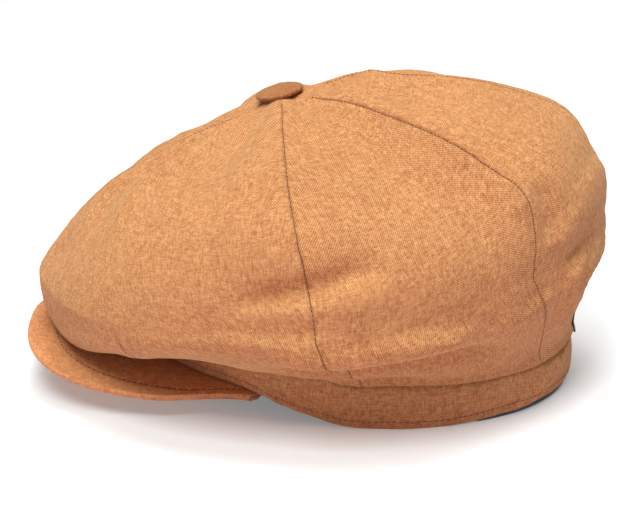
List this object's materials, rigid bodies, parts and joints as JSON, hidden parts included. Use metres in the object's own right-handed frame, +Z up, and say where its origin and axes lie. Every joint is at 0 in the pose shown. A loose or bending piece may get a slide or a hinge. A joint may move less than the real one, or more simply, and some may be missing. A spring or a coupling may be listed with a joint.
{
  "type": "newsboy cap",
  "caption": "Soft newsboy cap: panelled linen crown with a covered button, overhanging a stiff curved brim and a hemmed headband.",
  "frame": {"origin": "on the floor, under the middle of the cap's overall length and width", "axes": "+Z up, -Y towards the brim (the wearer's front), +X towards the wearer's left"},
  "size_m": [0.232, 0.2856, 0.1537],
  "materials": {
    "linen": "plain-weave linen, rust and peach threads",
    "lining": "smooth dark grey-blue twill",
    "interlining": "stiff non-woven canvas",
    "sweatband": "dark grey-blue cotton tape",
    "brim_board": "flexible moulded board",
    "button_shell": "pressed shell, hidden under cloth",
    "button_back": "plain disc",
    "thread": "twisted sewing thread",
    "tab": "plain dark woven tab",
    "label": "blank woven label"
  },
  "bodies": {
    "cap": {"crown_front_left": "linen", "lining_front_left": "lining", "crown_front_side_left": "linen", "lining_front_side_left": "lining", "crown_rear_side_left": "linen", "lining_rear_side_left": "lining", "crown_rear_left": "linen", "lining_rear_left": "lining", "crown_rear_right": "linen", "lining_rear_right": "lining", "crown_rear_side_right": "linen", "lining_rear_side_right": "lining", "crown_front_side_right": "linen", "lining_front_side_right": "lining", "crown_front_right": "linen", "lining_front_right": "lining", "crown_patch": "lining", "outer_band": "linen", "band_interlining": "interlining", "sweatband": "sweatband", "button_cover": "linen", "button_shell": "button_shell", "button_back": "button_back", "button_thread": "thread", "rear_tab": "tab", "maker_label": "label"},
    "brim": {"brim_board": "brim_board", "brim_top_cover": "linen", "brim_under_cover": "linen"},
    "size_flap": {"size_label": "label"}
  },
  "joints": [
    {"name": "brim_flex", "type": "hinge", "parent": "cap", "child": "brim", "pos_m": [0, -0.02384, 0.0135], "axis": [1, 0, 0], "range_deg": [0, 7], "stiffness_Nm_per_rad": 1.5, "springref_deg": -1.72},
    {"name": "label_flap", "type": "hinge", "parent": "cap", "child": "size_flap", "pos_m": [0, 0.12307, 0.032], "axis": [-1, 0, 0], "range_deg": [0, 110]}
  ]
}
